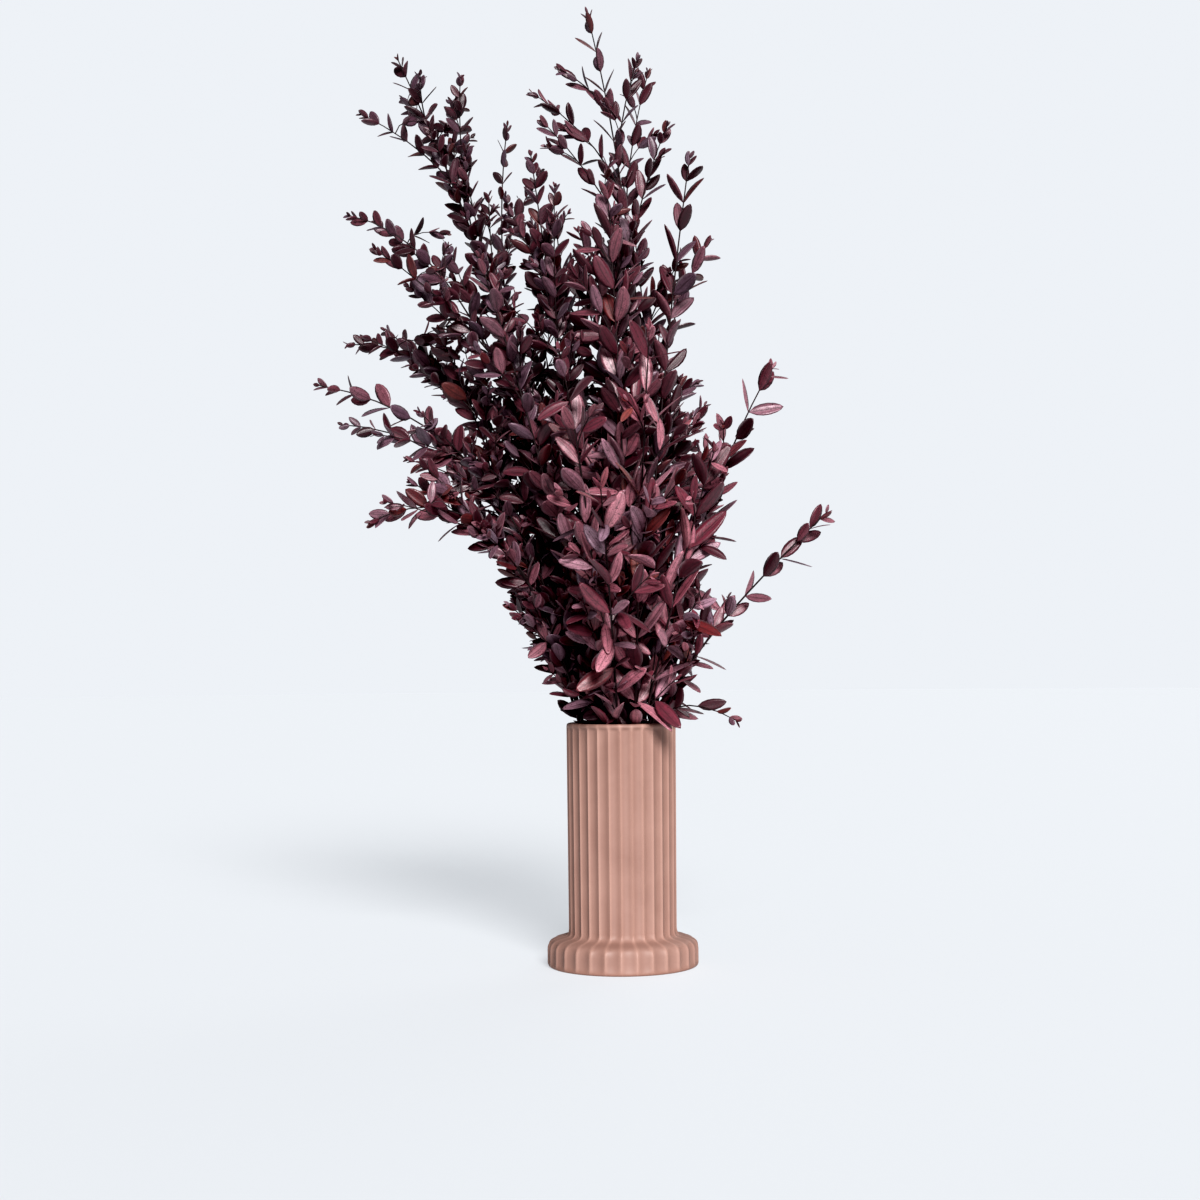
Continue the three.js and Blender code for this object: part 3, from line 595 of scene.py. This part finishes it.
def leaves_along(path, leaf_length, slim, rosy_and_lit, draw, bare):
    leaves = []
    to_tip = 1.5
    turn = draw(0, 180)
    while to_tip < path["length"] - bare:
        grown = 1 - math.exp(-to_tip / (LEAF_GROWTH * slim))
        place, tangent = point_on(path, path["length"] - to_tip)
        for side in (0, 180):
            opening = math.radians((0.55 + 0.45 * grown) * LEAF_OPENING * slim + draw(-10, 10))
            length = (SMALLEST_LEAF + (leaf_length - SMALLEST_LEAF) * grown) * draw(0.82, 1.12)
            roll = math.radians(draw(-36, 36))
            sag = draw(0, 1) ** 4 * 2 * rosy_and_lit
            shade = draw(0, 1)
            outward = sideways(tangent, turn + side)
            along = unit(tangent * math.cos(opening) + outward * math.sin(opening) - (0, 0, sag))
            level = unit(cross(tangent, along))
            lit = unit(cross(np.array((0.15 * place[0], place[1] - 40, 20)), along))
            if lit @ level < 0:
                lit = -lit
            across = unit(level + TO_LIGHT * lit)
            across = across * math.cos(roll) + cross(along, across) * math.sin(roll)
            half, middle = across * length * slim * 0.6, place + along * length * 0.5
            if clears_rim(place, middle - half, middle + half, place + along * length):
                width = length * slim * draw(0.85, 1.15)
                leaves.append((place, along, across, length, width, shade))
        turn += 90 + draw(-14, 14)
        to_tip += (5 + 0.6 * leaf_length * grown) * draw(0.85, 1.15)
    return leaves


def neck_of(stem):
    angle = math.radians(stem[2][0])
    return np.array((stem[2][1] * math.cos(angle), stem[2][1] * math.sin(angle), RIM_HEIGHT))


def grow(stem):
    """All shoots of a stem as (kind, path, leaves): main stem, twigs, then small twigs on long ones."""
    _, seed, _, elbow, tip, leaf_length, slim, bushy, rosy_and_lit, chosen = stem
    main = bent_path(neck_of(stem), elbow, tip, 14)
    shoots = [("main", main)]
    for share, twig_tip in chosen:
        shoots.append(("twig", twig_path(*point_on(main, share * main["length"]), twig_tip)))
    shoots += [("twig", path) for path in twigs_along(main, random_source(seed, 0, 1), bushy, 204, 100, 40)]
    for index, (kind, path) in list(enumerate(shoots)):
        if kind == "twig" and path["length"] > 75:
            small = twigs_along(path, random_source(seed, index, 1), 0.66, 215, 30, 36)
            shoots += [("small", small_path) for small_path in small]
    grown = []
    for index, (kind, path) in enumerate(shoots):
        bare = -INTO_MOUTH if kind == "main" else BARE_ON_TWIG
        draw = random_source(seed, index, 2)
        grown.append((kind, path, leaves_along(path, leaf_length, slim, rosy_and_lit, draw, bare)))
    return grown


plants = {stem[0]: grow(stem) for stem in STEMS}
print("shoots:", sum(map(len, plants.values())),
      "leaves:", sum(len(leaves) for shoots in plants.values() for _, _, leaves in shoots))

# %% [markdown]
# ## One leaf, modelled once
#
# The leaf is a thin pointed blade, widest below its middle, on hardly any stalk. A flat grid is
# pinched row by row to that outline. The underside is a copy of the upper face, pushed down
# everywhere but at the edge, and the two edges are merged, which gives a closed blade without a
# rim to spend faces on. It is one unit long and one unit wide, so that each copy can be scaled.

# %% Pinch a grid to the leaf's outline
ROWS = [0, 0.06, 0.2, 0.38, 0.58, 0.78, 0.92, 1]
HALF_WIDTHS = [0.002, 0.2, 0.72, 0.97, 1.0, 0.79, 0.43, 0.002]
bpy.ops.object.select_all(action="DESELECT")
bpy.ops.mesh.primitive_grid_add(x_subdivisions=4, y_subdivisions=7, size=1, location=(0, 0.5, 0))
leaf = bpy.context.object
leaf.name = "leaf_pattern"
bpy.ops.object.transform_apply(location=True, rotation=False, scale=False)
rows_before = vertex_places(leaf)[:, 1]
for row in range(8):
    select_vertices(leaf, abs(rows_before - row / 7) < 0.01)
    bpy.ops.transform.resize(value=(HALF_WIDTHS[row], 1, 1), center_override=(0, row / 7, 0))
    bpy.ops.transform.translate(value=(0, ROWS[row] - row / 7, 0))
    bpy.ops.object.mode_set(mode="OBJECT")
print("leaf outline:", len(leaf.data.vertices), "points")

# %% Give the leaf its underside
top = vertex_places(leaf)
row_of = [int(np.argmin(abs(np.array(ROWS) - place[1]))) for place in top]
edge = np.array([abs(place[0]) > 0.49 * HALF_WIDTHS[row] for row, place in zip(row_of, top)])
inner = ~edge & (top[:, 1] > 0.01) & (top[:, 1] < 0.99)
bpy.ops.object.mode_set(mode="EDIT")
bpy.ops.mesh.select_all(action="SELECT")
bpy.ops.mesh.duplicate()
bpy.ops.mesh.flip_normals()
bpy.ops.object.mode_set(mode="OBJECT")
select_vertices(leaf, np.concatenate((np.zeros(len(top), dtype=bool), inner)))
bpy.ops.transform.translate(value=(0, 0, -1))
bpy.ops.mesh.select_all(action="SELECT")
bpy.ops.mesh.remove_doubles(threshold=0.006)
bpy.ops.object.mode_set(mode="OBJECT")
leaf_points = vertex_places(leaf)
leaf_faces = [tuple(face.vertices) for face in leaf.data.polygons]
leaf_triangles = sum(len(face) - 2 for face in leaf_faces)
bpy.data.objects.remove(leaf)
print("leaf:", len(leaf_points), "points,", len(leaf_faces), "faces,", leaf_triangles, "triangles")

# %% [markdown]
# ### Copies of the leaf
#
# Each copy is bent in its own way before it is set on its twig: folded along the
# midrib, arched along its length and slightly twisted. All copies of a stem go into one
# mesh, worked out at once with arrays, because thousands of single objects would be slow. Each
# also keeps its place on the leaf as a UV map, for the veins, and its shade as an attribute.

# %% Set leaves on a stem
BLADE_THICKNESS = 0.35


def leafy_mesh(name, leaves, rosy_and_lit, draw):
    """One mesh of all leaves: rows of points per leaf, bent, and set in each leaf's own frame."""
    across_share = np.clip(leaf_points[:, 0] * 2 / np.interp(leaf_points[:, 1], ROWS, HALF_WIDTHS), -1, 1)
    on_top = leaf_points[:, 2] > -0.5
    places, shades = [], []
    for place, along, across, length, width, shade in leaves:
        face = cross(along, across)
        fold, arch, twist = draw(0.02, 0.32), draw(-0.04, 0.13), draw(-0.2, 0.2)
        sway = draw(-0.05, 0.05)
        v = leaf_points[:, 1]
        x = leaf_points[:, 0] * width
        z = fold * np.abs(x) ** 1.3 * (0.5 * width) ** -0.3 - arch * v**2 * length
        z = z - np.where(on_top, 0, BLADE_THICKNESS)
        turn = twist * v
        x, z = x * np.cos(turn) - z * np.sin(turn), x * np.sin(turn) + z * np.cos(turn)
        x = x + sway * np.sin(v * math.pi) * length
        places.append(place + v[:, None] * length * along + x[:, None] * across + z[:, None] * face)
        shades.append(np.full(len(v), shade))
    count = len(leaves)
    mesh = bpy.data.meshes.new(name)
    faces = [tuple(np.array(face) + i * len(leaf_points)) for i in range(count) for face in leaf_faces]
    mesh.from_pydata(np.concatenate(places) * MM, [], faces)
    shade_layer = mesh.attributes.new("shade", "FLOAT", "POINT")
    shade_layer.data.foreach_set("value", np.concatenate(shades).astype(np.float32))
    # Every point carries its stem's rosy share, which partly paints light on stems in front and shade on
    # stems inside.
    rosy_and_lit_layer = mesh.attributes.new("rosy_and_lit", "FLOAT", "POINT")
    rosy_and_lit_layer.data.foreach_set("value", np.full(len(mesh.vertices), rosy_and_lit, dtype=np.float32))
    corners = np.empty(len(mesh.loops), dtype=int)
    mesh.loops.foreach_get("vertex_index", corners)
    local = corners % len(leaf_points)
    uv = np.column_stack((0.5 + 0.5 * across_share[local], leaf_points[local, 1]))
    mesh.uv_layers.new(name="leaf").data.foreach_set("uv", uv.ravel().astype(np.float32))
    mesh.shade_smooth()
    return mesh


print("a leaf copy has", len(leaf_points), "points")

# %% [markdown]
# ## Stems and twigs
#
# A stem is a wiry rod that thins towards its tip. Blender's curves draw exactly that: a line
# of points with a radius at each, and a round bevel. So each shoot is one spline, and the
# curve is turned into a mesh once it is drawn. Below the rim, each main stem runs on down
# to the floor of the vase in the spiral of a bunch that was tied in the hand.

# %% Draw the rods
SPIRAL_TURN = 65
FOOT_SPREAD = 0.9
SEAT_GAP = 0.3


def path_to_floor(stem):
    """The hidden part of a main stem, from the vase's floor to the rim."""
    neck = neck_of(stem)
    lean = unit(np.array(stem[3], dtype=float) - neck)
    angle = math.radians(SPIRAL_TURN)
    cosine, sine = math.cos(angle), math.sin(angle)
    turned = (neck[0] * cosine - neck[1] * sine, neck[0] * sine + neck[1] * cosine, 0)
    foot = FOOT_SPREAD * np.array(turned)
    foot[2] = BORE_FLOOR + SEAT_GAP
    s = np.linspace(0, 1, 11)[:-1, None]
    first, second = foot + (0, 0, RIM_HEIGHT / 3), neck - lean * RIM_HEIGHT / 3
    return (1 - s) ** 3 * foot + 3 * s * (1 - s) ** 2 * first + 3 * s**2 * (1 - s) * second + s**3 * neck


def rods(name, strands, roundness):
    """A mesh of tapered rods. Each strand is its points and its radius at both ends."""
    curve = bpy.data.curves.new(name, "CURVE")
    curve.dimensions = "3D"
    curve.bevel_depth = MM
    curve.bevel_resolution = roundness
    curve.use_fill_caps = True
    for points, start_radius, end_radius in strands:
        spline = curve.splines.new("POLY")
        spline.points.add(len(points) - 1)
        run = path_through(points)
        radii = start_radius + (end_radius - start_radius) * run["run"] / run["length"]
        spline.points.foreach_set("co", np.column_stack((points * MM, np.ones(len(points)))).ravel())
        spline.points.foreach_set("radius", radii)
    rod = bpy.data.objects.new(name, curve)
    bpy.context.collection.objects.link(rod)
    bpy.ops.object.select_all(action="DESELECT")
    rod.select_set(True)
    bpy.context.view_layer.objects.active = rod
    bpy.ops.object.convert(target="MESH")
    bpy.ops.object.shade_smooth()
    return bpy.context.object


print("spiral:", SPIRAL_TURN, "degrees")

# %% [markdown]
# ## The skin of leaves and stems
#
# Glycerine leaves a dyed leaf supple, with a dull silky face. The dye takes unevenly, so
# leaves run from nearly black plum over burgundy to dusty rose, and here and there brick
# red. Stems in front and on the right get rosier leaves, and stems inside, on the left and at
# the top darker ones, which is partly painted light and shade. The midrib and the finest side
# veins show as darker lines, the edge is a little darker too, dye runs along the blade in long
# streaks, and there are small dark specks. The veins are drawn on the leaf's own UV map, so
# that they follow each blade, and everything else on object coordinates.

# %% Build the vein group
veins, given, result = new_group(
    "leaf_veins",
    {"Side Veins": 11.0, "Leaf": 0.5},
    {"Veins": "NodeSocketFloat", "Edge": "NodeSocketFloat", "Streaks": "NodeSocketFloat"},
)
leaf_map = add_node(veins, "ShaderNodeUVMap", {"uv_map": "leaf"})
split = add_node(veins, "ShaderNodeSeparateXYZ")
from_midrib = add_node(veins, "ShaderNodeMath", {"operation": "SUBTRACT"})
from_midrib.inputs[1].default_value = 0.5
outwards = add_node(veins, "ShaderNodeMath", {"operation": "ABSOLUTE"})
join(
    veins,
    (leaf_map.outputs["UV"], split.inputs["Vector"]),
    (split.outputs["X"], from_midrib.inputs[0]),
    (from_midrib.outputs[0], outwards.inputs[0]),
)
midrib = ramp_value(veins, outwards.outputs[0], 0.0, 0.045, 1.0, 0.0)
# Side veins leave the midrib forwards, so their phase falls with the distance from it.
lagging = add_node(veins, "ShaderNodeMath", {"operation": "MULTIPLY_ADD"})
lagging.inputs[1].default_value = -0.55
join(veins, (outwards.outputs[0], lagging.inputs[0]), (split.outputs["Y"], lagging.inputs[2]))
phase = add_node(veins, "ShaderNodeMath", {"operation": "MULTIPLY"})
join(veins, (lagging.outputs[0], phase.inputs[0]), (given.outputs["Side Veins"], phase.inputs[1]))
wave = add_node(veins, "ShaderNodeMath", {"operation": "PINGPONG"})
wave.inputs[1].default_value = 0.5
join(veins, (phase.outputs[0], wave.inputs[0]))
side_veins = ramp_value(veins, wave.outputs[0], 0.0, 0.12, 0.4, 0.0)
together = add_node(veins, "ShaderNodeMath", {"operation": "MAXIMUM"})
join(veins, (midrib, together.inputs[0]), (side_veins, together.inputs[1]))
join(veins, (together.outputs[0], result.inputs["Veins"]))
join(veins, (ramp_value(veins, outwards.outputs[0], 0.4, 0.5, 0.0, 1.0), result.inputs["Edge"]))
# Long streaks of dye run along the blade. The leaf's own number makes them differ from leaf to leaf.
stretched = add_node(veins, "ShaderNodeMapping")
stretched.inputs["Scale"].default_value = (9.0, 1.6, 1.0)
own_number = add_node(veins, "ShaderNodeMath", {"operation": "MULTIPLY"})
own_number.inputs[1].default_value = 90.0
streaks = add_node(
    veins, "ShaderNodeTexNoise", {"noise_dimensions": "4D"}, Scale=1.0, Detail=3.0, Roughness=0.6)
join(
    veins,
    (leaf_map.outputs["UV"], stretched.inputs["Vector"]),
    (stretched.outputs["Vector"], streaks.inputs["Vector"]),
    (given.outputs["Leaf"], own_number.inputs[0]),
    (own_number.outputs[0], streaks.inputs["W"]),
    (streaks.outputs["Fac"], result.inputs["Streaks"]),
)
print("group:", veins.name)

# %% Make the leaf's skin
leaf_skin = bpy.data.materials.new("preserved_leaf")
leaf_skin.use_nodes = True
tree = leaf_skin.node_tree
shader = tree.nodes["Principled BSDF"]
pattern = add_mottling(tree, 240.0, 800.0)
shade = add_node(tree, "ShaderNodeAttribute", {"attribute_name": "shade"}).outputs["Fac"]
rosy_and_lit = add_node(tree, "ShaderNodeAttribute", {"attribute_name": "rosy_and_lit"}).outputs["Fac"]
plum = colour_steps(tree, shade, [
    (0.0, (0.020, 0.002, 0.006)), (0.3, (0.052, 0.006, 0.016)), (0.55, (0.078, 0.012, 0.026)),
    (0.74, (0.084, 0.050, 0.078)), (0.88, (0.060, 0.028, 0.048)),
    (0.95, (0.10, 0.011, 0.015)), (1.0, (0.11, 0.028, 0.026))])
rose = colour_steps(tree, shade, [
    (0.0, (0.100, 0.014, 0.028)), (0.3, (0.350, 0.084, 0.122)), (0.55, (0.820, 0.370, 0.440)),
    (0.74, (0.480, 0.310, 0.390)), (0.88, (0.640, 0.260, 0.305)),
    (0.95, (0.220, 0.028, 0.032)), (1.0, (0.38, 0.110, 0.095))])
# Mixing plum towards rose by the stem's rosy share is partly the dye and partly painted light and shade
# across the bunch.
dyed_and_lit = mix_colour(tree, rosy_and_lit, plum, rose)
uneven = ramp_value(tree, pattern.outputs["Clouds"], 0.35, 0.7, 0.0, 0.35)
cloudy = mix_colour(tree, uneven, dyed_and_lit, (0.03, 0.008, 0.014))
vein_lines = add_node(tree, "ShaderNodeGroup", {"node_tree": veins})
join(tree, (shade, vein_lines.inputs["Leaf"]))
in_streaks = ramp_value(tree, vein_lines.outputs["Streaks"], 0.42, 0.68, 0.0, 0.55)
streaky = mix_colour(tree, in_streaks, cloudy, (0.035, 0.009, 0.014))
on_veins = ramp_value(tree, vein_lines.outputs["Veins"], 0.0, 1.0, 0.0, 0.7)
veined = mix_colour(tree, on_veins, streaky, (0.018, 0.005, 0.008))
at_edge = ramp_value(tree, vein_lines.outputs["Edge"], 0.0, 1.0, 0.0, 0.5)
edged = mix_colour(tree, at_edge, veined, (0.03, 0.008, 0.014))
specks = ramp_value(tree, pattern.outputs["Grain"], 0.60, 0.66, 0.0, 0.75)
leaf_colour = mix_colour(tree, specks, edged, (0.02, 0.008, 0.01))
leaf_roughness = ramp_value(tree, pattern.outputs["Clouds"], 0.3, 0.7, 0.34, 0.5)
shader.inputs["Specular IOR Level"].default_value = 0.8
shader.inputs["Sheen Weight"].default_value = 0.12
shader.inputs["Sheen Roughness"].default_value = 0.45
shader.inputs["Sheen Tint"].default_value = (1.0, 0.84, 0.90, 1)
relief = add_node(tree, "ShaderNodeMath", {"operation": "MULTIPLY_ADD"})
relief.inputs[1].default_value = -1.0
join(tree, (vein_lines.outputs["Veins"], relief.inputs[0]), (pattern.outputs["Grain"], relief.inputs[2]))
join(
    tree,
    (leaf_colour, shader.inputs["Base Color"]),
    (leaf_roughness, shader.inputs["Roughness"]),
    (bump(tree, relief.outputs[0], 0.5, 0.12 * MM), shader.inputs["Normal"]),
)
print("material:", leaf_skin.name)

# %% Make the bark
bark = bpy.data.materials.new("dyed_bark")
bark.use_nodes = True
tree = bark.node_tree
shader = tree.nodes["Principled BSDF"]
pattern = add_mottling(tree, 90.0, 1400.0)
bark_colour = colour_steps(tree, pattern.outputs["Clouds"], [
    (0.3, (0.012, 0.006, 0.007)), (0.7, (0.035, 0.016, 0.018))])
dust = ramp_value(tree, pattern.outputs["Grain"], 0.5, 0.75, 0.0, 0.4)
dusty = mix_colour(tree, dust, bark_colour, (0.07, 0.04, 0.04))
shader.inputs["Roughness"].default_value = 0.62
join(
    tree,
    (dusty, shader.inputs["Base Color"]),
    (bump(tree, pattern.outputs["Grain"], 0.6, 0.15 * MM), shader.inputs["Normal"]),
)
print("material:", bark.name)

# %% Dress every stem
total = 0
for stem in STEMS:
    name, seed, rosy_and_lit_share = stem[0], stem[1], stem[8]
    shoots = plants[name]
    main = np.concatenate((path_to_floor(stem), shoots[0][1]["points"]))
    stalk = rods(name + "_stalk", [(main, 1.6, 0.45)], 2)
    radius_of = {"twig": (0.7, 0.35), "small": (0.45, 0.28)}
    twigs = rods(name + "_twigs", [(path["points"], *radius_of[kind]) for kind, path, _ in shoots[1:]], 1)
    leaves = [one for _, _, on_shoot in shoots for one in on_shoot]
    mesh = leafy_mesh(name + "_leaves", leaves, rosy_and_lit_share, random_source(seed, 0, 3))
    foliage = bpy.data.objects.new("leafy_" + name, mesh)
    bpy.context.collection.objects.link(foliage)
    mesh.materials.append(leaf_skin)
    for rod in (stalk, twigs):
        rod.data.materials.clear()
        rod.data.materials.append(bark)
    bpy.ops.object.select_all(action="DESELECT")
    for part in (stalk, twigs, foliage):
        part.select_set(True)
    bpy.context.view_layer.objects.active = foliage
    bpy.ops.object.join()
    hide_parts(name)
    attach(foliage, "root")
    total += sum(len(face.vertices) - 2 for face in foliage.data.polygons)
print("stems dressed:", len(STEMS), "triangles:", total)
